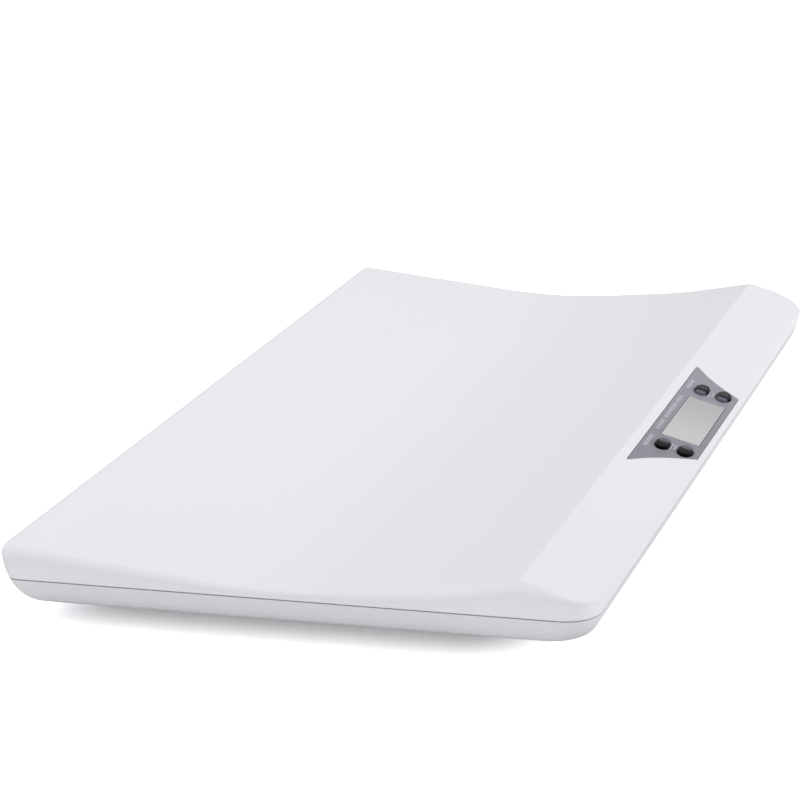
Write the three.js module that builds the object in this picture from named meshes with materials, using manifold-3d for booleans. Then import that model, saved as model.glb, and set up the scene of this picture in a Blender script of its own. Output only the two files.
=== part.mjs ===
// Digital baby weighing scale: a dished platform on four weighing feet, with a
// sloping control strip along its front. Millimetres, +Z up. The origin is on the
// table, under the middle of the scale. +X runs along the scale, +Y to its rear.
import * as THREE from 'three';
import { mergeVertices } from 'three/addons/utils/BufferGeometryUtils.js';
import Module from 'manifold-3d';

const wasm = await Module();
wasm.setup();

// Driving dimensions of the outer shape
const overallLength = 550;
const overallWidth = 280;
const floorClearance = 4;
const seamHeight = 23.1;
const rearEdgeHeight = 40.9;
const crestHeight = 40.4;
const stripWidth = 34.6;
const stripSlope = THREE.MathUtils.degToRad(15.8);
const rearCornerRadius = 7;
const topEdgeFillet = 6;
const frontEdgeFillet = 1;
const hullInset = 12;
const hullEdgeHeight = 10;
const underbodyInset = 35;
const underbodyTurn = THREE.MathUtils.degToRad(77.5);

// Dish: straight slopes joined by two rounded knees
const rearKneeHeight = 25.9;
const frontKneeHeight = 33;

// Shells
const shellWall = 2.4;
const seamGap = 0.6;
const fitGap = 0.3;
const cutOverrun = 1;
const weld = 0.8;
const lipDepth = 4;
const lipChamfer = 2.3;
const lipThickness = 1.5;
const lipRise = 0.5;
const leastInnerFillet = 0.35;

// Shares and exponents
const frontLeftCornerShare = 0.46;
const frontRightCornerShare = 0.9;
const filletLimitShare = 0.6;
const hullExponent = 1.8;
const rearKneeShare = 0.461;
const rearBlendShare = 0.107;
const frontKneeShare = 0.15;
const frontBlendShare = 0.043;
const innerRibShare = 0.32;
const outerRibShare = 0.6;
const screwChamferShare = 0.25;
const screwTipShare = 0.35;
const screwSlotShare = 0.7;
const leadExitShare = 0.25;
const mergeShare = 1e-6;

// Stiffening ribs under the platform
const ribThickness = 1.8;
const ribBottomHeight = 20.8;
const ribFrontInset = 48;
const ribRearInset = 15;
const longRibEndInset = 43;
const longRibRearInset = 88;
const longRibFrontInset = 68;

// Shell screws and their posts
const screwEndInset = 125;
const screwRowInset = 43;
const centreScrewInset = 17;
const screwHeadRadius = 3;
const screwHeadHeight = 2;
const screwShaftRadius = 1.5;
const screwShaftLength = 13;
const screwHeadInset = 3.2;
const screwDriveWidth = 1;
const screwDriveDepth = 1;
const basePostRadius = 4.9;
const basePostHeight = 8;
const trayPostRadius = 4.2;
const pilotSpare = 1.2;

// Weighing feet
const footEndInset = 70;
const footSideInset = 58;
const padRadius = 14.5;
const padHeight = 1.5;
const padRecessRadius = 11;
const padRecessDepth = 0.4;
const cupRadius = 16;
const cupHeight = 1.6;
const cupRimHeight = 0.9;
const cupRimWidth = 1;
const stemRadius = 6;
const stemCollarRadius = 8;
const stemCollarHeight = 1.1;
const footTravelGap = 0.5;

// Load cells and their brackets
const cellSide = 34;
const cellThickness = 2.4;
const cellSlotWidth = 2;
const cellArmWidth = 6;
const cellTongueWidth = 14;
const cellTongueRoot = 6;
const bracketWall = 3.5;
const bracketHoleSpare = 1.7;
const bracketRim = 1.5;
const bracketCornerRadius = 5;
const bracketNotchWidth = 4;

// Control panel, measured on the sloping strip from its crest edge
const panelTraySideInset = 5.5;
const panelHalfTraySide = 86.5;
const panelHalfOuterSide = 55;
const panelDepth = 29.6;
const panelEndBow = 18.2;
const panelEndBowDepth = 10.8;
const panelThickness = 1;
const panelSetBack = 0.1;
const panelTipShare = 0.05;
const displayHalfLength = 34.7;
const displayTrayInset = 6.4;
const displayDepth = 20;
const windowLedge = 1.2;

// Display stack under the strip
const lcdShrink = 0.9;
const lcdThickness = 2.2;
const lcdFrameWall = 0.9;
const lcdFrameLip = 0.7;
const viewingShrink = 1.6;
const connectorWidth = 2.4;
const connectorInset = 1;

// Buttons and switches
const buttonGap = 14.8;
const upperButtonInset = 10.5;
const buttonPitch = 11.8;
const buttonHalfLength = 7.4;
const buttonHalfWidth = 3.9;
const buttonProud = 1.7;
const buttonDome = 0.6;
const buttonFlange = 0.8;
const buttonFlangeThickness = 0.8;
const buttonStemRadius = 1.2;
const buttonStemLength = 0.6;
const buttonTravel = 0.6;
const plungerRadius = 1.25;
const plungerProud = 0.7;
const plungerSunk = 0.6;
const switchSide = 4.6;
const switchHeight = 2;

// Control board
const boardHalfLength = 70;
const boardTrayInset = 2;
const boardWidth = 28.3;
const boardThickness = 1.2;
const boardScrewX = 64;
const boardPostRadius = 3;
const boardScrewHeadRadius = 2.5;
const boardScrewHeadHeight = 1.5;
const boardScrewShaftRadius = 1;
const boardScrewGrip = 3.5;
const chipRadius = 7;
const chipHeight = 2;
const chipX = 34;
const socketHalfLength = 13;
const socketDepth = 6;
const socketHeight = 5;
const socketInset = 5;

// Battery compartment and its door
const batteryRadius = 5.25;
const batteryBody = 43.4;
const batteryNub = 1.1;
const batteryNubRadius = 1.9;
const batteryEdgeRadius = 0.6;
const batteryPitch = 11.1;
const contactRoom = 4.5;
const wellInset = 60.4;
const wellRoof = 1.8;
const wellSideWall = 1.6;
const doorThickness = 2;
const doorLedge = 2.2;
const thumbHalfWidth = 9;
const thumbReach = 6;
const thumbDepth = 0.8;
const contactThickness = 0.5;
const contactHeight = 9;
const contactBump = 3.1;
const contactEdge = 1;

// Cables
const sensorCableRadius = 1.1;
const batteryLeadRadius = 1.2;
const cablePitch = 4.6;
const cableStraight = 3.3;
const cableStepDiameters = 3;
const cableSides = 8;

// Counts of facets and of copies
const batteryCount = 4;
const rearKneeFacets = 6;
const frontKneeFacets = 3;
const rearCornerFacets = 5;
const frontCornerFacets = 8;
const filletFacets = 4;
const innerFilletFacets = 2;
const sideFacets = 3;
const hullFacets = 7;
const innerHullFacets = 4;
const roundFacets = 20;
const smallFacets = 12;
const bracketFacets = 2;
const panelEndFacets = 8;

// Sizes worked out from the driving dimensions
const halfLength = overallLength / 2;
const halfWidth = overallWidth / 2;
const crestY = stripWidth - halfWidth;
const frontLeftCornerRadius = stripWidth * frontLeftCornerShare;
const frontRightCornerRadius = stripWidth * frontRightCornerShare;
const rearKneeInset = overallWidth * rearKneeShare;
const rearKneeBlend = overallWidth * rearBlendShare;
const frontKneeInset = overallWidth * frontKneeShare;
const frontKneeBlend = overallWidth * frontBlendShare;
const rearKneeY = halfWidth - rearKneeInset;
const frontKneeY = crestY + frontKneeInset;
const rearSlope = (rearEdgeHeight - rearKneeHeight) / rearKneeInset;
const floorSlope = (frontKneeHeight - rearKneeHeight) / (rearKneeY - frontKneeY);
const crestSlope = (crestHeight - frontKneeHeight) / frontKneeInset;
const seamTop = seamHeight + seamGap / 2;
const seamBottom = seamHeight - seamGap / 2;
const floorTop = floorClearance + shellWall;
const widestHeight = rearEdgeHeight - topEdgeFillet;
const hullDepth = widestHeight - hullEdgeHeight;
const footX = halfLength - footEndInset;
const footY = halfWidth - footSideInset;
const wellCentreY = crestY + wellInset;

// Depths below the sloping strip, along its normal
const stripWallDepth = shellWall * Math.cos(stripSlope);
const panelRecessDepth = panelSetBack + panelThickness + fitGap;
const flangeTop = stripWallDepth + fitGap;
const flangeBottom = flangeTop + buttonFlangeThickness;
const stemEnd = flangeBottom + buttonStemLength;
const plungerTop = stemEnd + fitGap;
const switchTop = plungerTop + plungerProud;
const boardTop = switchTop + switchHeight + fitGap;
const boardBottom = boardTop + boardThickness;
const lcdTop = stripWallDepth + fitGap + lcdFrameLip + fitGap;
const lcdBottom = lcdTop + lcdThickness;

// Finishes
function finish(color, roughness, metalness) {
  return new THREE.MeshStandardMaterial({ color, roughness, metalness });
}

const whiteAbs = finish('#e8e7ec', 0.45, 0);
const baseAbs = finish('#dcdbe0', 0.5, 0);
const greyPanel = finish('#9b99a3', 0.55, 0);
const displayGlass = finish('#c4c3c3', 0.15, 0);
const liquidCrystal = finish('#b9bab6', 0.2, 0);
const blackGloss = finish('#151518', 0.15, 0);
const blackNylon = finish('#2c2c30', 0.6, 0);
const whiteNylon = finish('#dedcd4', 0.55, 0);
const rubber = finish('#8f8f93', 0.9, 0);
const silicone = finish('#6d6a68', 0.8, 0);
const greenBoard = finish('#1f5b38', 0.5, 0);
const epoxy = finish('#0e0e10', 0.35, 0);
const zincSteel = finish('#b9bcc0', 0.35, 1);
const springSteel = finish('#c9c6b8', 0.3, 1);
const batterySleeve = finish('#3f6f8f', 0.4, 0);
const cableJacket = finish('#c8c6c2', 0.6, 0);
const leadJacket = finish('#8e2420', 0.55, 0);

// Turns a geometry into a solid that can be joined and cut
function solid(geometry) {
  const bare = geometry.clone();
  bare.deleteAttribute('normal');
  bare.deleteAttribute('uv');
  const merged = mergeVertices(bare, overallLength * mergeShare);
  return new wasm.Manifold(new wasm.Mesh({
    numProp: 3,
    vertProperties: new Float32Array(merged.attributes.position.array),
    triVerts: new Uint32Array(merged.index.array),
  }));
}

// Turns a solid back into a geometry
function shape(body) {
  const mesh = body.getMesh();
  const geometry = new THREE.BufferGeometry();
  geometry.setAttribute('position', new THREE.BufferAttribute(mesh.vertProperties, 3));
  geometry.setIndex(new THREE.BufferAttribute(mesh.triVerts, 1));
  geometry.computeVertexNormals();
  return geometry;
}

function named(name, geometry, material) {
  const mesh = new THREE.Mesh(geometry, material);
  mesh.name = name;
  return mesh;
}

// Upright round post, from its lower to its upper height
function post(radius, low, high, x = 0, y = 0, facets = roundFacets) {
  const geometry = new THREE.CylinderGeometry(radius, radius, high - low, facets);
  geometry.rotateX(Math.PI / 2);
  geometry.translate(x, y, (low + high) / 2);
  return geometry;
}

// Block between two corners
function block(low, high) {
  const size = high.map((value, axis) => value - low[axis]);
  const geometry = new THREE.BoxGeometry(...size);
  geometry.translate(...high.map((value, axis) => (value + low[axis]) / 2));
  return geometry;
}

// Plan rectangle with round corners
function roundedRectangle(halfX, halfY, radius) {
  const outline = new THREE.Shape();
  outline.absarc(halfX - radius, halfY - radius, radius, 0, Math.PI / 2);
  outline.absarc(radius - halfX, halfY - radius, radius, Math.PI / 2, Math.PI);
  outline.absarc(radius - halfX, radius - halfY, radius, Math.PI, 1.5 * Math.PI);
  outline.absarc(halfX - radius, radius - halfY, radius, 1.5 * Math.PI, 2 * Math.PI);
  return outline;
}

// Straight extrusion of an outline between two heights
function slab(outline, low, high, facets = rearCornerFacets) {
  const settings = { depth: high - low, bevelEnabled: false, curveSegments: facets };
  const geometry = new THREE.ExtrudeGeometry(outline, settings);
  geometry.translate(0, 0, low);
  return geometry;
}

function evenly(from, to, steps) {
  return Array.from({ length: steps + 1 }, (_, step) => from + ((to - from) * step) / steps);
}

// Height gained past a unit bend that is rounded over its half width
function bend(past, blend) {
  if (past <= -blend) return 0;
  if (past >= blend) return past;
  return (past + blend) ** 2 / (4 * blend);
}

// Height of the outer top surface across the scale
function topHeight(y) {
  if (y < crestY) return crestHeight - (crestY - y) * Math.tan(stripSlope);
  const rearBend = (rearSlope + floorSlope) * bend(rearKneeY - y, rearKneeBlend);
  const frontBend = (crestSlope - floorSlope) * bend(frontKneeY - y, frontKneeBlend);
  return rearEdgeHeight - rearSlope * (halfWidth - y) + rearBend + frontBend;
}

// The top edge's fillet, limited by the wall that stands above the seam. It narrows
// beside the strip, towards the front edge.
function edgeRadius(y) {
  const widest = Math.min(topEdgeFillet, filletLimitShare * (topHeight(y) - seamTop));
  if (y > crestY) return widest;
  const fromFrontShare = Math.max(y + halfWidth, 0) / stripWidth;
  return Math.min(widest, frontEdgeFillet + (topEdgeFillet - frontEdgeFillet) * fromFrontShare);
}

function innerEdgeRadius(y) {
  return Math.max(edgeRadius(y) - shellWall, leastInnerFillet);
}

// Where the side wall starts below its fillet
function wallTop(y) {
  return topHeight(y) - edgeRadius(y);
}

// How far the hull-like side has drawn in at a height
function hullAt(z) {
  const share = Math.max(widestHeight - z, 0) / hullDepth;
  return hullInset * (1 - (1 - share ** hullExponent) ** (1 / hullExponent));
}

// How far it has drawn in where the side wall starts
function wallHull(station) {
  return hullAt(wallTop(outlineY(station)));
}

const frontDrawIn = hullAt(wallTop(-halfWidth));

// Stations round each half of the plan, from the rear middle to the front. Both halves
// are laid out on the right, and the left one, which comes first, is mirrored later.
const straightYs = [
  ...evenly(rearKneeY + rearKneeBlend, rearKneeY - rearKneeBlend, rearKneeFacets),
  ...evenly(frontKneeY + frontKneeBlend, frontKneeY - frontKneeBlend, frontKneeFacets),
  crestY,
];
const rearCorner = evenly(Math.PI / 2, 0, rearCornerFacets)
  .map((angle) => ({ side: 1, radius: rearCornerRadius, angle }));
const frontCorners = [frontLeftCornerRadius, frontRightCornerRadius]
  .map((radius) => evenly(0, -Math.PI / 2, frontCornerFacets)
    .map((angle) => ({ side: -1, radius, angle })));
const trayHalves = frontCorners
  .map((corner) => [...rearCorner, ...straightYs.map((y) => ({ y })), ...corner]);
const baseHalves = frontCorners.map((corner) => [...rearCorner, ...corner]);

// Plan position of a station, on an outline drawn in by the hull and then offset inwards
function planPoint(station, hull, inset) {
  if (station.angle === undefined) return [halfLength - hull - inset, station.y];
  const { side, radius, angle } = station;
  const reach = halfWidth - radius + (side > 0 ? 0 : frontDrawIn);
  const x = halfLength - hull - radius + (radius - inset) * Math.cos(angle);
  const y = side * (reach - hull) + (radius - inset) * Math.sin(angle);
  return [x, y];
}

// Where a station lies across the scale, on the outline seen from above
function outlineY(station) {
  if (station.angle === undefined) return station.y;
  const { side, radius, angle } = station;
  return side * (halfWidth - radius) + radius * Math.sin(angle);
}

// One closed ring of points from the stations of both halves
function ring(halves, place) {
  const [left, right] = halves.map((stations) => stations.map(place));
  return [...right, ...left.map(([x, y, z]) => [-x, y, z]).reverse()];
}

// Closed body of stacked rings, with its first and last ring closed across
function stackedRings(rings) {
  const count = rings[0].length;
  const index = [];
  const quad = (a, b, c, d) => index.push(a, b, c, a, c, d);
  for (let level = 0; level + 1 < rings.length; level += 1) {
    for (let step = 0; step < count; step += 1) {
      const next = (step + 1) % count;
      const low = level * count;
      const high = low + count;
      quad(low + step, low + next, high + next, high + step);
    }
  }
  const last = (rings.length - 1) * count;
  for (let step = 0; step + 1 < count / 2; step += 1) {
    const across = count - 1 - step;
    quad(step + 1, step, across, across - 1);
    quad(last + step, last + step + 1, last + across - 1, last + across);
  }
  const geometry = new THREE.BufferGeometry();
  geometry.setAttribute('position', new THREE.Float32BufferAttribute(rings.flat(2), 3));
  geometry.setIndex(index);
  return geometry;
}

// Fillet between the top surface and the side wall; turn is 0 at the top
function filletRing(turn, radiusAt, wall) {
  return ring(trayHalves, (station) => {
    const radius = radiusAt(outlineY(station));
    const inset = wall + radius * (1 - Math.sin(turn));
    const [x, y] = planPoint(station, wallHull(station), inset);
    return [x, y, topHeight(y) - wall - radius * (1 - Math.cos(turn))];
  });
}

function trayRings() {
  const quarter = Math.PI / 2;
  const outer = evenly(0, quarter, filletFacets).map((turn) => filletRing(turn, edgeRadius, 0));
  const side = evenly(0, 1, sideFacets).slice(1).map((share) => ring(trayHalves, (station) => {
    const y = outlineY(station);
    const z = wallTop(y) + (seamTop - wallTop(y)) * share;
    return [...planPoint(station, hullAt(z), 0), z];
  }));
  const rimHull = hullAt(seamTop);
  const rim = ring(trayHalves, (station) => [...planPoint(station, rimHull, shellWall), seamTop]);
  const inner = evenly(quarter, 0, innerFilletFacets)
    .map((turn) => filletRing(turn, innerEdgeRadius, shellWall));
  return [...outer, ...side, rim, ...inner];
}

// Turn round the hull's curve at a height: 0 at its widest, a quarter turn at its edge
function hullTurn(z) {
  return Math.asin(((widestHeight - z) / hullDepth) ** (hullExponent / 2));
}

// Ring on the hull's curve, or inside it by a wall measured square to the curve
function hullRing(turn, wall) {
  const outShare = Math.cos(turn) ** (2 / hullExponent);
  const downShare = Math.sin(turn) ** (2 / hullExponent);
  const square = new THREE.Vector2(
    outShare ** (hullExponent - 1) / hullInset,
    downShare ** (hullExponent - 1) / hullDepth,
  ).setLength(wall);
  const z = widestHeight - hullDepth * downShare + square.y;
  const hull = hullInset * (1 - outShare);
  return ring(baseHalves, (station) => [...planPoint(station, hull, square.x), z]);
}

// Edge of the flat underside, or of the floor inside it, below the sloping underbody
function floorRing(wall) {
  const drop = widestHeight - hullDepth * Math.sin(underbodyTurn) ** (2 / hullExponent)
    - floorClearance;
  const run = underbodyInset - hullInset * (1 - Math.cos(underbodyTurn) ** (2 / hullExponent));
  const inset = wall * Math.tan(Math.atan2(drop, run) / 2);
  return ring(baseHalves, (station) => {
    const place = planPoint(station, underbodyInset, inset);
    return [...place, floorClearance + wall];
  });
}

function baseRings() {
  const outer = evenly(underbodyTurn, hullTurn(seamBottom), hullFacets)
    .map((turn) => hullRing(turn, 0));
  const lipTop = seamHeight + lipRise;
  const lip = [
    [fitGap, seamBottom],
    [fitGap, lipTop],
    [fitGap + lipThickness, lipTop],
    [fitGap + lipThickness, seamHeight - lipDepth + lipChamfer],
  ].map(([inset, z]) => ring(baseHalves, (station) => {
    const place = planPoint(station, hullAt(seamBottom), shellWall + inset);
    return [...place, z];
  }));
  const inner = evenly(hullTurn(seamHeight - lipDepth), underbodyTurn, innerHullFacets)
    .map((turn) => hullRing(turn, shellWall));
  return [floorRing(0), ...outer, ...lip, ...inner, floorRing(shellWall)].reverse();
}

// Places on the sloping strip: across the scale, down the slope, below the surface
const stripFrame = new THREE.Matrix4()
  .makeRotationX(stripSlope)
  .setPosition(0, crestY, crestHeight);

function onStrip(x, downSlope, depth) {
  return new THREE.Vector3(x, -downSlope, -depth).applyMatrix4(stripFrame);
}

function sunkInStrip(geometry) {
  return solid(geometry.clone().applyMatrix4(stripFrame));
}

// Control panel's outline, with bowed ends, grown by a clearance
function panelOutline(grow) {
  const traySide = -panelTraySideInset;
  const outerSide = traySide - panelDepth;
  const rightEnd = new THREE.QuadraticBezierCurve(
    new THREE.Vector2(panelHalfTraySide, traySide),
    new THREE.Vector2(panelHalfTraySide - panelEndBow, traySide - panelEndBowDepth),
    new THREE.Vector2(panelHalfOuterSide, outerSide),
  );
  const offset = (share) => {
    const along = rightEnd.getTangent(share);
    const outwards = new THREE.Vector2(-along.y, along.x);
    return rightEnd.getPoint(share).addScaledVector(outwards, grow);
  };
  const meets = (share, y) => {
    const along = rightEnd.getTangent(share);
    const { x: fromX, y: fromY } = offset(share);
    return new THREE.Vector2(fromX + ((y - fromY) * along.x) / along.y, y);
  };
  const shares = evenly(panelTipShare, 1 - panelTipShare, panelEndFacets);
  const half = [
    meets(shares[0], traySide + grow),
    ...shares.map(offset),
    meets(shares.at(-1), outerSide - grow),
  ];
  const mirrored = half.map((point) => new THREE.Vector2(-point.x, point.y)).reverse();
  return new THREE.Shape([...half, ...mirrored]);
}

// Display opening: a rectangle on the strip, grown or shrunk by a margin
const displayCentre = -panelTraySideInset - displayTrayInset - displayDepth / 2;

function displaySlab(grow, top, bottom) {
  const halfX = displayHalfLength + grow;
  const halfY = displayDepth / 2 + grow;
  return block([-halfX, displayCentre - halfY, -bottom], [halfX, displayCentre + halfY, -top]);
}

// The four buttons: two at each end of the display
const buttonX = displayHalfLength + buttonGap;
const buttonPlaces = [-buttonX, buttonX].flatMap((x) => [0, buttonPitch].map((step) => ({
  x,
  y: -panelTraySideInset - upperButtonInset - step,
})));

// Oval body of revolution, stretched along the scale
function oval(profile, place) {
  const geometry = new THREE.LatheGeometry(profile, roundFacets);
  geometry.rotateX(Math.PI / 2);
  geometry.scale(buttonHalfLength / buttonHalfWidth, 1, 1);
  geometry.translate(place.x, place.y, 0);
  return geometry;
}

function ovalHole(place, low, high) {
  const radius = buttonHalfWidth + fitGap;
  return oval([
    new THREE.Vector2(0, low),
    new THREE.Vector2(radius, low),
    new THREE.Vector2(radius, high),
    new THREE.Vector2(0, high),
  ], place);
}

// Screw posts
const screwSideX = halfLength - screwEndInset;
const screwRowY = halfWidth - screwRowInset;
const screwPlaces = [
  { name: 'rear_left', x: -screwSideX, y: screwRowY },
  { name: 'rear_middle', x: 0, y: screwRowY },
  { name: 'rear_right', x: screwSideX, y: screwRowY },
  { name: 'front_left', x: -screwSideX, y: -screwRowY },
  { name: 'front_middle', x: 0, y: crestY + centreScrewInset },
  { name: 'front_right', x: screwSideX, y: -screwRowY },
];
const screwSeat = floorClearance + screwHeadInset + screwHeadHeight;
const basePostTop = floorClearance + basePostHeight;
const trayPostBottom = basePostTop + fitGap;
const screwTip = screwSeat - fitGap + screwShaftLength;

function wallCore(y) {
  return topHeight(y) - shellWall + weld;
}

// A rib across the platform, whose top follows the underside of the dish
function crossRib(x) {
  const rear = halfWidth - ribRearInset;
  const front = ribFrontInset - halfWidth;
  const stops = [rear, ...straightYs.filter((y) => y < rear && y > front), front];
  const outline = new THREE.Shape();
  outline.moveTo(front, ribBottomHeight);
  outline.lineTo(rear, ribBottomHeight);
  stops.forEach((y) => outline.lineTo(y, wallCore(y)));
  const geometry = slab(outline, -ribThickness / 2, ribThickness / 2);
  const across = new THREE.Vector3(0, 1, 0);
  const up = new THREE.Vector3(0, 0, 1);
  const along = new THREE.Vector3(1, 0, 0);
  geometry.applyMatrix4(new THREE.Matrix4().makeBasis(across, up, along));
  geometry.translate(x, 0, 0);
  return geometry;
}

function longRib(y) {
  const reach = halfLength - longRibEndInset;
  const low = [-reach, y - ribThickness / 2, ribBottomHeight];
  const high = [reach, y + ribThickness / 2, wallCore(y)];
  return block(low, high);
}

function trayShell() {
  let body = solid(stackedRings(trayRings()));
  for (const share of [-outerRibShare, -innerRibShare, innerRibShare, outerRibShare]) {
    body = body.add(solid(crossRib(halfLength * share)));
  }
  for (const y of [longRibFrontInset - halfWidth, halfWidth - longRibRearInset]) {
    body = body.add(solid(longRib(y)));
  }
  for (const { x, y } of screwPlaces) {
    body = body.add(solid(post(trayPostRadius, trayPostBottom, wallCore(y), x, y)));
  }
  for (const { x, y } of screwPlaces) {
    const pilot = screwShaftRadius + fitGap;
    const low = trayPostBottom - cutOverrun;
    body = body.subtract(solid(post(pilot, low, screwTip + pilotSpare, x, y, smallFacets)));
  }
  for (const x of [-boardScrewX, boardScrewX]) {
    const y = -boardTrayInset - boardWidth / 2;
    const holder = post(boardPostRadius, fitGap - boardTop, weld - stripWallDepth, x, y);
    body = body.add(sunkInStrip(holder));
    const pilot = boardScrewShaftRadius + fitGap;
    const hole = post(pilot, -boardTop, -stripWallDepth, x, y, smallFacets);
    body = body.subtract(sunkInStrip(hole));
  }
  const recess = slab(panelOutline(fitGap), -panelRecessDepth, cutOverrun);
  body = body.subtract(sunkInStrip(recess));
  const opening = displaySlab(-windowLedge, -cutOverrun, stripWallDepth + cutOverrun);
  body = body.subtract(sunkInStrip(opening));
  for (const place of buttonPlaces) {
    body = body.subtract(sunkInStrip(ovalHole(place, -stripWallDepth - weld, cutOverrun)));
  }
  return named('tray_shell', shape(body), whiteAbs);
}

// Battery compartment sizes
const wellHalfX = (batteryBody + batteryNub) / 2 + contactRoom;
const wellHalfY = (batteryCount * batteryPitch) / 2 + fitGap;
const doorHalfX = wellHalfX + doorLedge;
const doorHalfY = wellHalfY + doorLedge;
const wellOuterX = doorHalfX + fitGap + wellSideWall;
const wellOuterY = doorHalfY + fitGap + wellSideWall;
const doorTop = floorClearance + doorThickness;
const batteryAxisHeight = doorTop + fitGap + batteryRadius;
const wellCeiling = batteryAxisHeight + batteryRadius + fitGap;

function wellBlock(halfX, halfY, low, high) {
  return block([-halfX, wellCentreY - halfY, low], [halfX, wellCentreY + halfY, high]);
}

const leadY = wellCentreY - batteryPitch;
const leadHeight = batteryAxisHeight + contactHeight * leadExitShare;

// Feet stand in round holes through the base
const footPlaces = [
  { name: 'rear_left', x: -footX, y: footY },
  { name: 'rear_right', x: footX, y: footY },
  { name: 'front_left', x: -footX, y: -footY },
  { name: 'front_right', x: footX, y: -footY },
];

function baseShell() {
  let body = solid(stackedRings(baseRings()));
  const well = wellBlock(wellOuterX, wellOuterY, floorClearance + weld, wellCeiling + wellRoof);
  body = body.add(solid(well));
  for (const { x, y } of screwPlaces) {
    body = body.add(solid(post(basePostRadius, floorClearance + weld, basePostTop, x, y)));
  }
  const under = floorClearance - cutOverrun;
  body = body.subtract(solid(wellBlock(wellHalfX, wellHalfY, under, wellCeiling)));
  const doorRecess = doorTop + fitGap;
  body = body.subtract(solid(wellBlock(doorHalfX + fitGap, doorHalfY + fitGap, under, doorRecess)));
  const thumbFront = wellCentreY - doorHalfY - thumbReach;
  const thumb = block(
    [-thumbHalfWidth, thumbFront, under],
    [thumbHalfWidth, thumbFront + thumbReach, floorClearance + thumbDepth],
  );
  body = body.subtract(solid(thumb));
  const exitEnd = wellOuterX + cutOverrun;
  const exit = post(batteryLeadRadius + fitGap, wellHalfX - cutOverrun, exitEnd, 0, 0, smallFacets);
  exit.rotateY(Math.PI / 2);
  exit.translate(0, leadY, leadHeight);
  body = body.subtract(solid(exit));
  for (const { x, y } of screwPlaces) {
    const sink = post(screwHeadRadius + fitGap, under, screwSeat, x, y);
    body = body.subtract(solid(sink));
    const hole = post(screwShaftRadius + fitGap, under, basePostTop + cutOverrun, x, y, smallFacets);
    body = body.subtract(solid(hole));
  }
  for (const { x, y } of footPlaces) {
    const hole = post(stemRadius + fitGap, under, floorTop + cutOverrun, x, y);
    body = body.subtract(solid(hole));
  }
  return named('base_shell', shape(body), baseAbs);
}

// Screw with a round head below and a cross slot, standing on its head
function screw(headRadius, headHeight, shaftRadius, shaftLength) {
  const chamfer = headHeight * screwChamferShare;
  const outline = [
    [0, 0],
    [headRadius - chamfer, 0],
    [headRadius, chamfer],
    [headRadius, headHeight],
    [shaftRadius, headHeight],
    [shaftRadius, headHeight + shaftLength - shaftRadius],
    [shaftRadius * screwTipShare, headHeight + shaftLength],
    [0, headHeight + shaftLength],
  ].map(([radius, height]) => new THREE.Vector2(radius, height));
  const turned = new THREE.LatheGeometry(outline, smallFacets);
  turned.rotateX(Math.PI / 2);
  let body = solid(turned);
  const reach = headRadius * screwSlotShare;
  const slots = [[reach, screwDriveWidth / 2], [screwDriveWidth / 2, reach]];
  for (const [halfX, halfY] of slots) {
    const slot = block([-halfX, -halfY, -cutOverrun], [halfX, halfY, screwDriveDepth]);
    body = body.subtract(solid(slot));
  }
  return shape(body);
}

function shellScrews() {
  return screwPlaces.map(({ name, x, y }) => {
    const geometry = screw(screwHeadRadius, screwHeadHeight, screwShaftRadius, screwShaftLength);
    const mesh = named(`shell_screw_${name}`, geometry, zincSteel);
    mesh.position.set(x, y, screwSeat - fitGap - screwHeadHeight);
    return mesh;
  });
}

// Foot: a cup with a stem through the base, and a rubber pad under it
const stemTop = floorTop + fitGap + stemCollarHeight + fitGap;
const cellUnderside = stemTop + footTravelGap;
const cupLow = padHeight + fitGap;

function footCup() {
  const outline = [
    [0, cupLow],
    [padRadius + fitGap, cupLow],
    [padRadius + fitGap, cupLow - cupRimHeight],
    [padRadius + fitGap + cupRimWidth, cupLow - cupRimHeight],
    [cupRadius, cupLow],
    [cupRadius, cupLow + cupHeight],
    [stemRadius, cupLow + cupHeight],
    [stemRadius, stemTop - stemCollarHeight],
    [stemCollarRadius, stemTop - stemCollarHeight],
    [stemRadius, stemTop],
    [0, stemTop],
  ].map(([radius, height]) => new THREE.Vector2(radius, height));
  const geometry = new THREE.LatheGeometry(outline, roundFacets);
  geometry.rotateX(Math.PI / 2);
  return geometry;
}

function footPad() {
  const pad = solid(post(padRadius, 0, padHeight));
  const recess = solid(post(padRecessRadius, padHeight - padRecessDepth, padHeight + cutOverrun));
  return shape(pad.subtract(recess));
}

// Load cell: a steel plate whose middle tongue bends under the foot's stem
function loadCell() {
  const half = cellSide / 2;
  const outline = roundedRectangle(half, half, bracketCornerRadius);
  const outer = half - cellArmWidth;
  const inner = cellTongueWidth / 2;
  const far = cellTongueRoot - half;
  const slot = new THREE.Path();
  slot.moveTo(-outer, far);
  slot.lineTo(-outer, outer);
  slot.lineTo(outer, outer);
  slot.lineTo(outer, far);
  slot.lineTo(inner, far);
  slot.lineTo(inner, outer - cellSlotWidth);
  slot.lineTo(-inner, outer - cellSlotWidth);
  slot.lineTo(-inner, far);
  slot.closePath();
  outline.holes.push(slot);
  return slab(outline, cellUnderside, cellUnderside + cellThickness, bracketFacets);
}

const cellRest = cellUnderside - fitGap;
const bracketLow = floorTop + fitGap;
const bracketHalf = cellSide / 2 + fitGap + bracketWall;
const bracketTop = cellUnderside + cellThickness + bracketRim;

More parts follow.
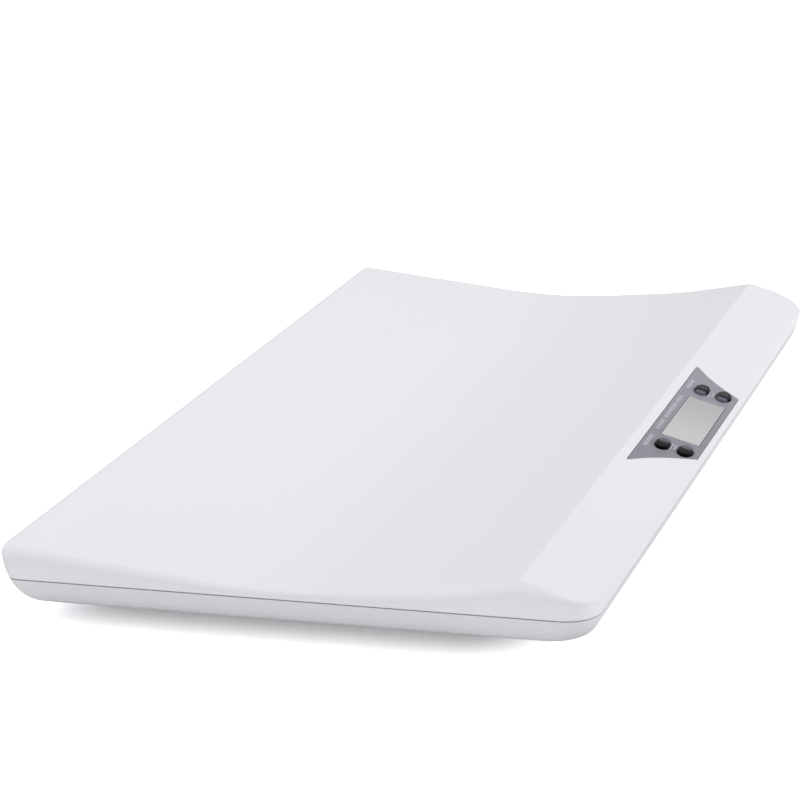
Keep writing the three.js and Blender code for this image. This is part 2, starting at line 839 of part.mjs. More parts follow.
// Bracket: a tray for the load cell, open under its tongue and notched for the cable
function cellBracket(inward) {
  const outline = roundedRectangle(bracketHalf, bracketHalf, bracketCornerRadius);
  const pocketHalf = cellSide / 2 + fitGap;
  const pocket = roundedRectangle(pocketHalf, pocketHalf, bracketCornerRadius);
  let body = solid(slab(outline, bracketLow, bracketTop, bracketFacets));
  const pocketTop = bracketTop + cutOverrun;
  body = body.subtract(solid(slab(pocket, cellRest, pocketTop, bracketFacets)));
  const hole = post(stemCollarRadius + bracketHoleSpare, bracketLow - cutOverrun, bracketTop);
  body = body.subtract(solid(hole));
  const notch = block(
    [0, -bracketNotchWidth / 2, cellRest],
    [bracketHalf + cutOverrun, bracketNotchWidth / 2, bracketTop + cutOverrun],
  );
  if (inward < 0) notch.rotateZ(Math.PI);
  return shape(body.subtract(solid(notch)));
}

function feet() {
  return footPlaces.flatMap(({ name, x, y }) => {
    const cell = named(`load_cell_${name}`, loadCell(), zincSteel);
    const inward = -Math.sign(x);
    cell.rotation.z = (inward * Math.PI) / 2;
    const pieces = [
      named(`foot_cup_${name}`, footCup(), blackNylon),
      named(`foot_pad_${name}`, footPad(), rubber),
      cell,
      named(`cell_bracket_${name}`, cellBracket(inward), whiteNylon),
    ];
    pieces.forEach((piece) => piece.position.set(x, y, 0));
    return pieces;
  });
}

// Control panel group, built flat and laid on the strip
function faceplate() {
  let body = solid(slab(panelOutline(0), -panelSetBack - panelThickness, -panelSetBack));
  const window = displaySlab(fitGap, -cutOverrun, panelThickness + cutOverrun);
  body = body.subtract(solid(window));
  for (const place of buttonPlaces) {
    body = body.subtract(solid(ovalHole(place, -panelThickness - cutOverrun, cutOverrun)));
  }
  return named('control_faceplate', shape(body), greyPanel);
}

function displayPieces() {
  const frameInner = fitGap - lcdShrink;
  const frameOuter = frameInner + lcdFrameWall;
  const frameTop = stripWallDepth + fitGap;
  const frameBottom = boardTop - fitGap;
  let frame = solid(displaySlab(frameOuter, frameTop, frameBottom));
  const viewing = displaySlab(-viewingShrink, frameTop - cutOverrun, frameBottom + cutOverrun);
  const cavity = displaySlab(frameInner, lcdTop - fitGap, frameBottom + cutOverrun);
  frame = frame.subtract(solid(viewing)).subtract(solid(cavity));
  const connectorY = displayCentre + displayDepth / 2 - lcdShrink - connectorInset;
  const connector = block(
    [lcdShrink - displayHalfLength, connectorY - connectorWidth, fitGap - boardTop],
    [displayHalfLength - lcdShrink, connectorY, -lcdBottom - fitGap],
  );
  const window = displaySlab(0, panelSetBack, panelSetBack + panelThickness);
  return [
    named('display_window', window, displayGlass),
    named('lcd_panel', displaySlab(-lcdShrink, lcdTop, lcdBottom), liquidCrystal),
    named('lcd_frame', shape(frame), blackNylon),
    named('lcd_connector', connector, silicone),
  ];
}

const buttonNames = ['upper_left', 'lower_left', 'upper_right', 'lower_right'];

function buttonCap(place) {
  const shoulder = buttonProud - buttonDome;
  const dome = evenly(0, Math.PI / 2, filletFacets).map((turn) => new THREE.Vector2(
    buttonHalfWidth * Math.cos(turn),
    shoulder + buttonDome * Math.sin(turn),
  ));
  dome.at(-1).x = 0;
  const cap = solid(oval([
    new THREE.Vector2(0, -flangeBottom),
    new THREE.Vector2(buttonHalfWidth + buttonFlange, -flangeBottom),
    new THREE.Vector2(buttonHalfWidth + buttonFlange, -flangeTop),
    new THREE.Vector2(buttonHalfWidth, -flangeTop),
    ...dome,
  ], place));
  const stem = solid(post(buttonStemRadius, -stemEnd, -flangeTop, place.x, place.y, smallFacets));
  return shape(cap.add(stem));
}

function switchBody(place) {
  const half = switchSide / 2;
  const body = solid(block(
    [place.x - half, place.y - half, -switchTop - switchHeight],
    [place.x + half, place.y + half, -switchTop],
  ));
  const low = -switchTop - plungerSunk - buttonTravel - fitGap;
  const high = cutOverrun - switchTop;
  const bore = post(plungerRadius + fitGap, low, high, place.x, place.y, smallFacets);
  return shape(body.subtract(solid(bore)));
}

function buttons() {
  return buttonPlaces.flatMap((place, order) => {
    const name = buttonNames[order];
    const low = -switchTop - plungerSunk;
    const plunger = post(plungerRadius, low, -plungerTop, place.x, place.y, smallFacets);
    return [
      named(`button_${name}`, buttonCap(place), blackGloss),
      named(`switch_plunger_${name}`, plunger, blackNylon),
      named(`switch_body_${name}`, switchBody(place), zincSteel),
    ];
  });
}

const boardMiddle = -boardTrayInset - boardWidth / 2;

function controlBoard() {
  let body = solid(block(
    [-boardHalfLength, -boardTrayInset - boardWidth, -boardBottom],
    [boardHalfLength, -boardTrayInset, -boardTop],
  ));
  const radius = boardScrewShaftRadius + fitGap;
  const low = -boardBottom - cutOverrun;
  const high = cutOverrun - boardTop;
  for (const x of [-boardScrewX, boardScrewX]) {
    body = body.subtract(solid(post(radius, low, high, x, boardMiddle, smallFacets)));
  }
  return named('control_board', shape(body), greenBoard);
}

function boardScrews() {
  return [['left', -boardScrewX], ['right', boardScrewX]].map(([name, x]) => {
    const shaft = boardThickness + 2 * fitGap + boardScrewGrip;
    const geometry = screw(boardScrewHeadRadius, boardScrewHeadHeight, boardScrewShaftRadius, shaft);
    const mesh = named(`board_screw_${name}`, geometry, zincSteel);
    mesh.position.set(x, boardMiddle, -boardBottom - fitGap - boardScrewHeadHeight);
    return mesh;
  });
}

// Chip under a drop of epoxy, on the underside of the board
function controllerChip() {
  const drop = evenly(0, Math.PI / 2, filletFacets).map((turn) => new THREE.Vector2(
    chipRadius * Math.cos(turn),
    chipHeight * Math.sin(turn),
  ));
  drop.at(-1).x = 0;
  const geometry = new THREE.LatheGeometry([new THREE.Vector2(0, 0), ...drop], roundFacets);
  geometry.rotateX(-Math.PI / 2);
  geometry.translate(chipX, boardMiddle, -boardBottom - fitGap);
  return named('controller_chip', geometry, epoxy);
}

const socketTop = boardBottom + fitGap;
const socketFace = boardTrayInset + socketInset;

function cableSocket() {
  const low = [-socketHalfLength, -socketFace - socketDepth, -socketTop - socketHeight];
  const high = [socketHalfLength, -socketFace, -socketTop];
  return named('cable_socket', block(low, high), whiteNylon);
}

function controlGroup() {
  const group = new THREE.Group();
  group.position.set(0, crestY, crestHeight);
  group.rotation.x = stripSlope;
  group.add(faceplate(), ...displayPieces(), ...buttons(), controlBoard());
  group.add(...boardScrews(), controllerChip(), cableSocket());
  return group;
}

// Door over the batteries, with a rounded edge that it turns on
function batteryDoor() {
  const pivot = doorThickness / 2;
  const outline = new THREE.Shape();
  outline.moveTo(-doorHalfY, 0);
  outline.lineTo(doorHalfY - pivot, 0);
  outline.absarc(doorHalfY - pivot, pivot, pivot, -Math.PI / 2, Math.PI / 2);
  outline.lineTo(-doorHalfY, doorThickness);
  const geometry = slab(outline, -doorHalfX, doorHalfX);
  const across = new THREE.Vector3(0, 1, 0);
  const up = new THREE.Vector3(0, 0, 1);
  const along = new THREE.Vector3(1, 0, 0);
  geometry.applyMatrix4(new THREE.Matrix4().makeBasis(across, up, along));
  const mesh = named('battery_door', geometry, baseAbs);
  mesh.position.set(0, wellCentreY, floorClearance);
  return mesh;
}

function batteryCell() {
  const half = (batteryBody + batteryNub) / 2;
  const shoulder = batteryBody - half;
  const outline = [
    [0, -half],
    [batteryRadius - batteryEdgeRadius, -half],
    [batteryRadius, batteryEdgeRadius - half],
    [batteryRadius, shoulder - batteryEdgeRadius],
    [batteryRadius - batteryEdgeRadius, shoulder],
    [batteryNubRadius, shoulder],
    [batteryNubRadius, half],
    [0, half],
  ].map(([radius, height]) => new THREE.Vector2(radius, height));
  const geometry = new THREE.LatheGeometry(outline, smallFacets);
  geometry.rotateZ(-Math.PI / 2);
  return geometry;
}

// Sprung contact plate that bridges two batteries
function batteryContact() {
  const half = contactHeight / 2;
  const outline = new THREE.Shape();
  outline.moveTo(0, -half);
  outline.lineTo(contactThickness, -half);
  outline.lineTo(contactThickness, contactEdge - half);
  outline.lineTo(contactThickness + contactBump, -contactEdge);
  outline.lineTo(contactThickness + contactBump, contactEdge);
  outline.lineTo(contactThickness, half - contactEdge);
  outline.lineTo(contactThickness, half);
  outline.lineTo(0, half);
  const halfSpan = batteryPitch - contactEdge;
  const geometry = slab(outline, -halfSpan, halfSpan);
  geometry.rotateX(Math.PI / 2);
  return geometry;
}

function batteryPack() {
  const spread = ((batteryCount - 1) * batteryPitch) / 2;
  const cells = evenly(-spread, spread, batteryCount - 1).map((across, order) => {
    const mesh = named(`battery_${order + 1}`, batteryCell(), batterySleeve);
    mesh.position.set(0, wellCentreY + across, batteryAxisHeight);
    if (order % 2) mesh.rotation.z = Math.PI;
    return mesh;
  });
  const ends = [[-1, -1], [-1, 1], [1, -1], [1, 1]];
  const contacts = ends.map(([end, side], order) => {
    const mesh = named(`battery_contact_${order + 1}`, batteryContact(), springSteel);
    mesh.position.set(end * (wellHalfX - fitGap), wellCentreY + side * batteryPitch, batteryAxisHeight);
    if (end > 0) mesh.rotation.z = Math.PI;
    return mesh;
  });
  return [...cells, ...contacts];
}

// Cable along a route that is given from its start to its end
function cable(name, radius, route, material) {
  const circle = new THREE.Shape().absarc(0, 0, radius, 0, 2 * Math.PI);
  const path = new THREE.CatmullRomCurve3(route.map((point) => new THREE.Vector3(...point)));
  const settings = {
    steps: Math.ceil(path.getLength() / (cableStepDiameters * 2 * radius)),
    curveSegments: cableSides / 2,
    bevelEnabled: false,
    extrudePath: path,
  };
  return named(name, new THREE.ExtrudeGeometry(circle, settings), material);
}

// Last stretch of a cable, straight into the socket's face
function intoSocket(slot) {
  const depth = socketTop + socketHeight / 2;
  const gaps = [cableStraight, fitGap];
  return gaps.map((gap) => onStrip(slot * cablePitch, socketFace - gap, depth).toArray());
}

function sensorCables() {
  const exitX = footX - cellSide / 2 - fitGap;
  const exitZ = cellRest + fitGap + sensorCableRadius;
  const rearRun = [
    [178, 82, 9.7],
    [165, 81, 8.6],
    [120, 74, 8],
    [70, 52, 8],
    [46, 20, 8],
    [41, -25, 8],
    [37, -62, 8],
    [26, -80, 9],
    [14, -92, 14],
    [8.5, -99, 20.5],
    [5, -102.6, 27],
  ];
  const frontRun = [
    [178, -82, 9.7],
    [165, -82, 8.6],
    [120, -82, 8],
    [70, -84, 8],
    [36, -87, 8.5],
    [20, -91, 12],
    [12, -97, 20],
    [9.6, -102.4, 27],
  ];
  return footPlaces.map(({ name, x, y }) => {
    const side = Math.sign(x);
    const run = y > 0 ? rearRun : frontRun;
    const slot = y > 0 ? side : 2 * side;
    const start = [side * exitX, y, exitZ];
    const middle = run.map(([px, py, pz]) => [side * px, py, pz]);
    const route = [start, ...middle, ...intoSocket(slot)];
    return cable(`sensor_cable_${name}`, sensorCableRadius, route, cableJacket);
  });
}

function batteryLead() {
  const start = [wellHalfX, leadY, leadHeight];
  const route = [
    start,
    [34, leadY, leadHeight],
    [36, -64, 14.5],
    [28, -78, 15.5],
    [13, -92, 18],
    [5, -98.5, 23.5],
    [1, -102.4, 27],
    ...intoSocket(0),
  ];
  return cable('battery_lead', batteryLeadRadius, route, leadJacket);
}

const scale = new THREE.Group();
scale.name = 'baby_scale';
scale.add(trayShell(), baseShell(), controlGroup());
scale.add(...shellScrews(), ...feet());
scale.add(batteryDoor(), ...batteryPack());
scale.add(...sensorCables(), batteryLead());

export default scale;
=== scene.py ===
"""Looks of a digital baby weighing scale: a dished white platform on four weighing feet.

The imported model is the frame. The shells, panel, buttons, pads and door are rebuilt on it
with worked edges, and every piece gets a procedural finish read from Object coordinates.
"""

import logging
import math
from dataclasses import dataclass
from enum import Enum
from typing import Callable, Sequence

import bmesh
import bpy
from mathutils import Matrix, Vector


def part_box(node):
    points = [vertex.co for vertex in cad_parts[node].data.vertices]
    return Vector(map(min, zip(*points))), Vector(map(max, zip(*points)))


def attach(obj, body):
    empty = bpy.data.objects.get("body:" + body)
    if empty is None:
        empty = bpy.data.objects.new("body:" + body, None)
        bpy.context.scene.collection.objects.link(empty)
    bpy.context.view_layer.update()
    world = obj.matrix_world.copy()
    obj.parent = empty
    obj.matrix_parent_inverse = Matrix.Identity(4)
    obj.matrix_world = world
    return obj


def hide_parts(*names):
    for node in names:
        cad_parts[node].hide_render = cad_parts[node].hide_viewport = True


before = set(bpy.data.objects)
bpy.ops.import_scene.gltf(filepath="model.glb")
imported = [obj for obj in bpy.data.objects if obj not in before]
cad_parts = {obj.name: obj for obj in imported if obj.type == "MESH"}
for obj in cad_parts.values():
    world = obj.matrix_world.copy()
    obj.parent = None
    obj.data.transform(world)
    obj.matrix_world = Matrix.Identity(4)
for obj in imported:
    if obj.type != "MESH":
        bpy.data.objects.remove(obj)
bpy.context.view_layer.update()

MM = 0.001

# Side of the photograph in pixels, and width of a full-frame sensor in millimetres.
PHOTO_SIDE = 800
SENSOR_WIDTH = 36.0

# Gap in millimetres that joins loose triangles, and turn in degrees that counts as flat.
MERGE_DISTANCE = 0.002
FLAT_ANGLE = 0.3

# Turn in degrees over which an edge is rounded, and turn under which it is shaded smooth.
SHARP_ANGLE = 40.0
SMOOTH_ANGLE = 32.0

# How far large faces outweigh small ones in the shading of an edge, where 50 is neutral.
FLAT_FACE_WEIGHT = 80

# Colour sockets of the mix node, by number, because its other sockets have the same names.
MIX_FIRST = 6
MIX_SECOND = 7
MIX_RESULT = 2

Colour = tuple[float, float, float, float]
Values = dict[str | int, object]
Links = dict[str | int, bpy.types.NodeSocket]

logging.basicConfig(level=logging.INFO, format="%(name)s: %(message)s")
log = logging.getLogger("baby_scale")


class Body(Enum):
    """The bodies of the frame that pieces ride on."""

    ROOT = "root"
    DOOR = "battery_cover"

    @staticmethod
    def key(place: str) -> str:
        """Name of the body of one button."""
        return f"button_{place}_key"


def linear(code: str) -> Colour:
    """Turns an sRGB hex code into a linear colour.

    Args:
        code: Six hex digits after a hash sign.

    Returns:
        Red, green, blue and alpha, linear.
    """
    parts = [int(code[at : at + 2], 16) / 255 for at in (1, 3, 5)]
    turned = [p / 12.92 if p <= 0.04045 else ((p + 0.055) / 1.055) ** 2.4 for p in parts]
    return (turned[0], turned[1], turned[2], 1.0)


def shaded(colour: Colour, share: float) -> Colour:
    """Returns a linear colour made darker or lighter by a share, up to white."""
    red, green, blue = (min(part * share, 1.0) for part in colour[:3])
    return (red, green, blue, 1.0)


def add_node(
    tree: bpy.types.NodeTree,
    kind: str,
    settings: dict[str, object] | None = None,
    values: Values | None = None,
    links: Links | None = None,
) -> bpy.types.Node:
    """Adds a node with its settings, socket values and incoming links.

    Args:
        tree: The material's or world's node tree.
        kind: Blender's type name of the node.
        settings: Attributes of the node itself.
        values: Default values by the name or number of an input socket.
        links: Output sockets by the name or number of the input socket that they feed.

    Returns:
        The new node.
    """
    node = tree.nodes.new(kind)
    for name, value in (settings or {}).items():
        setattr(node, name, value)
    for name, value in (values or {}).items():
        node.inputs[name].default_value = value
    for name, socket in (links or {}).items():
        tree.links.new(socket, node.inputs[name])
    return node


def new_tree(material: bpy.types.Material) -> bpy.types.NodeTree:
    """Empties a material's node tree.

    Args:
        material: The material, which is set to use nodes.

    Returns:
        The empty tree.
    """
    material.use_nodes = True
    material.node_tree.nodes.clear()
    return material.node_tree


def add_object(name: str, data: bpy.types.ID) -> bpy.types.Object:
    """Adds an object to the scene, at the origin.

    Args:
        name: Its name.
        data: Its mesh, lamp or camera.

    Returns:
        The object.
    """
    added = bpy.data.objects.new(name, data)
    bpy.context.scene.collection.objects.link(added)
    return added


@dataclass(frozen=True)
class Plastic:
    """Injection moulded or rubbery plastic: a base colour under a skin with mould grain.

    The grain is a bump of the mould's own texture, drawn a few times coarser than the real
    one so that it shows at all. The colour and the roughness drift a little over
    centimetres, as they do where the melt cooled unevenly.
    """

    name: str
    colour: str
    roughness: float
    grain_mm: float = 0.6
    grain_depth_mm: float = 0.01
    drift: float = 0.02
    drift_mm: float = 60.0
    ior: float = 1.5
    shine: float = 0.5
    alpha: float = 1.0
    # Painted light or shade: a colour that the finish fades into along X, and the span of the
    # fade.
    painted_light_colour: str = ""
    painted_light_span_mm: tuple[float, float] = (0.0, 1.0)
    roughness_drift: float = 0.08

    def build(self) -> bpy.types.Material:
        """Makes the material.

        Returns:
            The new material.
        """
        material = bpy.data.materials.new(self.name)
        tree = new_tree(material)
        place = add_node(tree, "ShaderNodeTexCoord").outputs["Object"]
        cloud = add_node(
            tree,
            "ShaderNodeTexNoise",
            values={"Scale": 1 / (self.drift_mm * MM), "Detail": 2.0, "Roughness": 0.5},
            links={"Vector": place},
        )
        base = linear(self.colour)
        mixed = add_node(
            tree,
            "ShaderNodeMix",
            {"data_type": "RGBA"},
            values={
                MIX_FIRST: shaded(base, 1 - self.drift),
                MIX_SECOND: shaded(base, 1 + self.drift),
            },
            links={"Factor": cloud.outputs["Fac"]},
        )
        shown = mixed.outputs[MIX_RESULT]
        # Paints light or shade along X, where the finish has it.
        if self.painted_light_colour:
            shown = self.add_painted_light(tree, place, shown)
        rough = add_node(
            tree,
            "ShaderNodeMapRange",
            values={
                "To Min": self.roughness * (1 - self.roughness_drift),
                "To Max": self.roughness * (1 + self.roughness_drift),
            },
            links={"Value": cloud.outputs["Fac"]},
        )
        speck = add_node(
            tree,
            "ShaderNodeTexNoise",
            values={"Scale": 1 / (self.grain_mm * MM), "Detail": 3.0, "Roughness": 0.6},
            links={"Vector": place},
        )
        bump = add_node(
            tree,
            "ShaderNodeBump",
            values={"Strength": 1.0, "Distance": self.grain_depth_mm * MM},
            links={"Height": speck.outputs["Fac"]},
        )
        shader = add_node(
            tree,
            "ShaderNodeBsdfPrincipled",
            values={"IOR": self.ior, "Specular IOR Level": self.shine, "Alpha": self.alpha},
            links={
                "Base Color": shown,
                "Roughness": rough.outputs["Result"],
                "Normal": bump.outputs["Normal"],
            },
        )
        add_node(tree, "ShaderNodeOutputMaterial", links={"Surface": shader.outputs["BSDF"]})
        return material

    def add_painted_light(
        self,
        tree: bpy.types.NodeTree,
        place: bpy.types.NodeSocket,
        near: bpy.types.NodeSocket,
    ) -> bpy.types.NodeSocket:
        """Paints light or shade into the colour, as a fade into another colour along X.

        Args:
            tree: The material's node tree.
            place: Object coordinates.
            near: The colour before the painted light.

        Returns:
            The colour with the painted light or shade.
        """
        parts = add_node(tree, "ShaderNodeSeparateXYZ", links={"Vector": place})
        share = add_node(
            tree,
            "ShaderNodeMapRange",
            {"interpolation_type": "SMOOTHSTEP"},
            values={
                "From Min": self.painted_light_span_mm[0] * MM,
                "From Max": self.painted_light_span_mm[1] * MM,
            },
            links={"Value": parts.outputs["X"]},
        )
        mixed = add_node(
            tree,
            "ShaderNodeMix",
            {"data_type": "RGBA"},
            values={MIX_SECOND: linear(self.painted_light_colour)},
            links={"Factor": share.outputs["Result"], MIX_FIRST: near},
        )
        return mixed.outputs[MIX_RESULT]


@dataclass(frozen=True)
class Metal:
    """Plated or rolled steel sheet and wire: fine lines along X from rolling or drawing.

    The lines are drawn coarser than real ones, so that they show.
    """

    name: str
    colour: str
    roughness: float
    line_mm: float = 0.15
    line_length_mm: float = 12.0
    depth_mm: float = 0.004
    smoothest_share: float = 0.8
    roughest_share: float = 1.25

    def build(self) -> bpy.types.Material:
        """Makes the material.

        Returns:
            The new material.
        """
        material = bpy.data.materials.new(self.name)
        tree = new_tree(material)
        place = add_node(tree, "ShaderNodeTexCoord").outputs["Object"]
        across = 1 / (self.line_mm * MM)
        along = 1 / (self.line_length_mm * MM)
        stretched = add_node(
            tree,
            "ShaderNodeMapping",
            values={"Scale": (along, across, across)},
            links={"Vector": place},
        )
        lines = add_node(
            tree,
            "ShaderNodeTexNoise",
            values={"Scale": 1.0, "Detail": 2.0},
            links={"Vector": stretched.outputs["Vector"]},
        )
        rough = add_node(
            tree,
            "ShaderNodeMapRange",
            values={
                "To Min": self.roughness * self.smoothest_share,
                "To Max": self.roughness * self.roughest_share,
            },
            links={"Value": lines.outputs["Fac"]},
        )
        bump = add_node(
            tree,
            "ShaderNodeBump",
            values={"Strength": 1.0, "Distance": self.depth_mm * MM},
            links={"Height": lines.outputs["Fac"]},
        )
        shader = add_node(
            tree,
            "ShaderNodeBsdfPrincipled",
            values={"Base Color": linear(self.colour), "Metallic": 1.0},
            links={"Roughness": rough.outputs["Result"], "Normal": bump.outputs["Normal"]},
        )
        add_node(tree, "ShaderNodeOutputMaterial", links={"Surface": shader.outputs["BSDF"]})
        return material


@dataclass(frozen=True)
class CircuitLaminate:
    """Glass-epoxy laminate under green solder mask, with copper tracks showing through."""

    name: str
    mask: str
    track: str
    roughness: float
    track_pitch_mm: float = 2.4
    track_length_share: float = 3.1
    track_width_share: float = 0.09
    track_shift_share: float = 0.37
    track_height_mm: float = 0.03

    def build(self) -> bpy.types.Material:
        """Makes the material.

        Returns:
            The new material.
        """
        material = bpy.data.materials.new(self.name)
        tree = new_tree(material)
        place = add_node(tree, "ShaderNodeTexCoord").outputs["Object"]
        tracks = add_node(
            tree,
            "ShaderNodeTexBrick",
            {"offset": self.track_shift_share},
            values={
                "Scale": 1 / (self.track_pitch_mm * MM),
                "Color1": linear(self.mask),
                "Color2": linear(self.mask),
                "Mortar": linear(self.track),
                "Mortar Size": self.track_width_share,
                "Brick Width": self.track_length_share,
                "Row Height": 1.0,
            },
            links={"Vector": place},
        )
        bump = add_node(
            tree,
            "ShaderNodeBump",
            values={"Strength": 1.0, "Distance": self.track_height_mm * MM},
            links={"Height": tracks.outputs["Fac"]},
        )
        shader = add_node(
            tree,
            "ShaderNodeBsdfPrincipled",
            values={"Roughness": self.roughness},
            links={
                "Base Color": tracks.outputs["Color"],
                "Normal": bump.outputs["Normal"],
            },
        )
        add_node(tree, "ShaderNodeOutputMaterial", links={"Surface": shader.outputs["BSDF"]})
        return material


# Moulded in a finely spark-eroded tool: a soft, almost shadowless white with no mirror in it.
WHITE_ABS = Plastic(
    "white_moulded_abs",
    "#ecebf0",
    roughness=0.75,
    grain_mm=0.7,
    grain_depth_mm=0.012,
    drift=0.006,
    drift_mm=90,
    shine=0.1,
)
# The same plastic from a coarser tool, so it looks flatter, made a shade greyer as painted shade.
BASE_ABS = Plastic(
    "base_abs_painted_shade",
    "#e2e1e5",
    roughness=0.75,
    grain_mm=0.7,
    grain_depth_mm=0.015,
    drift=0.012,
    drift_mm=70,
    shine=0.1,
)
# Violet-grey plastic with a satin skin, and a painted sheen that lightens it towards its far end.
GREY_ABS = Plastic(
    "grey_panel_abs_painted_sheen",
    "#84838d",
    roughness=0.5,
    grain_mm=0.4,
    grain_depth_mm=0.01,
    drift=0.03,
    drift_mm=25,
    shine=0.25,
    painted_light_colour="#92919b",
    painted_light_span_mm=(-80, 80),
)
# Clear sheet printed light grey on its back: milky, faintly shiny, with painted shade at its far
# end.
WINDOW_ACRYLIC = Plastic(
    "back_printed_acrylic_painted_shade",
    "#cac9ca",
    roughness=0.3,
    grain_mm=5.0,
    grain_depth_mm=0.002,
    drift=0.02,
    drift_mm=30,
    shine=0.25,
    alpha=0.92,
    painted_light_colour="#b1b0b2",
    painted_light_span_mm=(-35, 40),
)
# Blank display glass with its reflector behind: a plain grey seen dimly through the window.
LIQUID_CRYSTAL = Plastic(
    "liquid_crystal_glass",
    "#c4c3c3",
    roughness=0.3,
    grain_mm=0.3,
    grain_depth_mm=0.004,
    drift=0.02,
    drift_mm=30,
)
# Polished black plastic, deep black outwards, with a painted reflection towards the display:
# a violet-grey crescent that stands in for the pale floor mirrored in the glossy side.
KEY_LEFT = Plastic(
    "black_key_abs_painted_reflection_left",
    "#08080a",
    roughness=0.3,
    grain_mm=3.0,
    grain_depth_mm=0.004,
    drift=0.05,
    drift_mm=8,
    shine=0.03,
    painted_light_colour="#62616e",
    painted_light_span_mm=(-49.5, -46.8),
)
# The same plastic on the far keys, whose painted reflection, a grey crescent, lies on the nearer
# side.
KEY_RIGHT = Plastic(
    "black_key_abs_painted_reflection_right",
    "#6a6976",
    roughness=0.3,
    grain_mm=3.0,
    grain_depth_mm=0.004,
    drift=0.05,
    drift_mm=8,
    shine=0.03,
    painted_light_colour="#08080a",
    painted_light_span_mm=(43.8, 45.8),
)
# Glass-filled nylon: charcoal and dull, with a slight mottle.
BLACK_NYLON = Plastic(
    "glass_filled_black_nylon",
    "#2c2c30",
    roughness=0.6,
    grain_mm=0.5,
    grain_depth_mm=0.02,
    drift=0.04,
    drift_mm=20,
)
# Unpigmented nylon: a warm, slightly waxy off-white.
WHITE_NYLON = Plastic(
    "natural_nylon",
    "#dedcd4",
    roughness=0.55,
    grain_mm=0.5,
    grain_depth_mm=0.02,
    drift=0.02,
    drift_mm=20,
)
# Pressed rubber: mid grey, without gloss, with a dusty grain.
FOOT_RUBBER = Plastic(
    "pressed_foot_rubber",
    "#77777b",
    roughness=0.85,
    grain_mm=0.5,
    grain_depth_mm=0.04,
    drift=0.05,
    drift_mm=12,
    ior=1.45,
)
# Layered conductive silicone: a dull brownish grey strip.
SILICONE = Plastic(
    "zebra_silicone",
    "#6d6a68",
    roughness=0.8,
    grain_mm=0.4,
    grain_depth_mm=0.02,
    drift=0.05,
    drift_mm=6,
    ior=1.42,
)
# A poured epoxy drop: black, uneven and half shiny.
CHIP_EPOXY = Plastic(
    "poured_black_epoxy",
    "#0e0e10",
    roughness=0.35,
    grain_mm=2.0,
    grain_depth_mm=0.05,
    drift=0.08,
    drift_mm=5,
)
# Shrunk film round a cell: a clean blue with long soft gleams.
SLEEVE = Plastic(
    "shrunk_battery_film",
    "#3f6f8f",
    roughness=0.35,
    grain_mm=4.0,
    grain_depth_mm=0.01,
    drift=0.03,
    drift_mm=12,
)
# Extruded soft PVC: pale grey and slightly greasy in its shine.
CABLE_PVC = Plastic(
    "extruded_grey_pvc",
    "#c8c6c2",
    roughness=0.6,
    grain_mm=0.8,
    grain_depth_mm=0.02,
    drift=0.03,
    drift_mm=15,
    ior=1.53,
)
# The same PVC dyed red for the battery's lead.
LEAD_PVC = Plastic(
    "extruded_red_pvc",
    "#8e2420",
    roughness=0.55,
    grain_mm=0.8,
    grain_depth_mm=0.02,
    drift=0.04,
    drift_mm=15,
    ior=1.53,
)
# Pad-printed ink: pale and matte, a little uneven at this size.
PRINT_INK = Plastic(
    "pad_printed_ink",
    "#d0cfd8",
    roughness=0.6,
    grain_mm=0.5,
    grain_depth_mm=0.004,
    drift=0.03,
    drift_mm=4,
    shine=0.2,
)
# The same ink worn thin on the keys, so the black shows through it.
KEY_INK = Plastic(
    "worn_key_ink",
    "#84848c",
    roughness=0.6,
    grain_mm=0.5,
    grain_depth_mm=0.004,
    drift=0.03,
    drift_mm=4,
    shine=0.1,
)
# Green mask with its copper tracks as slightly lighter, raised lines.
BOARD = CircuitLaminate("green_circuit_laminate", "#1f5b38", track="#2f7a4c", roughness=0.45)
# Bright zinc plate over rolled sheet: cool grey with fine lines.
ZINC = Metal("zinc_plated_steel", "#b9bcc0", roughness=0.35)
# Nickel plate over spring strip: warmer and a little brighter than the zinc.
SPRING = Metal("nickel_plated_spring_steel", "#c9c6b8", roughness=0.3)

Finish = Plastic | Metal | CircuitLaminate


class Paintbox:
    """Keeps one Blender material for each finish."""

    def __init__(self) -> None:
        """Starts with no material made."""
        self._made: dict[str, bpy.types.Material] = {}

    def get(self, finish: Finish) -> bpy.types.Material:
        """Gives the Blender material of a finish, made at its first use.

        Args:
            finish: The finish.

        Returns:
            Its material.
        """
        if finish.name not in self._made:
            self._made[finish.name] = finish.build()
        return self._made[finish.name]

    def dress(self, piece: bpy.types.Object, *finishes: Finish) -> None:
        """Gives a piece its finishes.

        Args:
            piece: A new piece, or a node of the frame, whose own material goes.
            finishes: The finishes, in the order of the faces' material indices.
        """
        # Clearing sets every face's index to nought, so it is done only where it is needed.
        if len(piece.data.materials) > 0:
            piece.data.materials.clear()
        for finish in finishes:
            piece.data.materials.append(self.get(finish))
        log.info("dressed %s in %s", piece.name, ", ".join(f.name for f in finishes))


PAINTS = Paintbox()


def merged_copy(node: str) -> bmesh.types.BMesh:
    """Copies a node's mesh, joins its loose triangles and clears its flat faces.

    Args:
        node: Name of the node in the frame.

    Returns:
        A mesh in the row frame, in metres.
    """
    mesh = bmesh.new()
    mesh.from_mesh(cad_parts[node].data)
    bmesh.ops.remove_doubles(mesh, verts=mesh.verts, dist=MERGE_DISTANCE * MM)
    bmesh.ops.dissolve_limit(
        mesh, angle_limit=math.radians(FLAT_ANGLE), verts=mesh.verts, edges=mesh.edges
    )
    return mesh


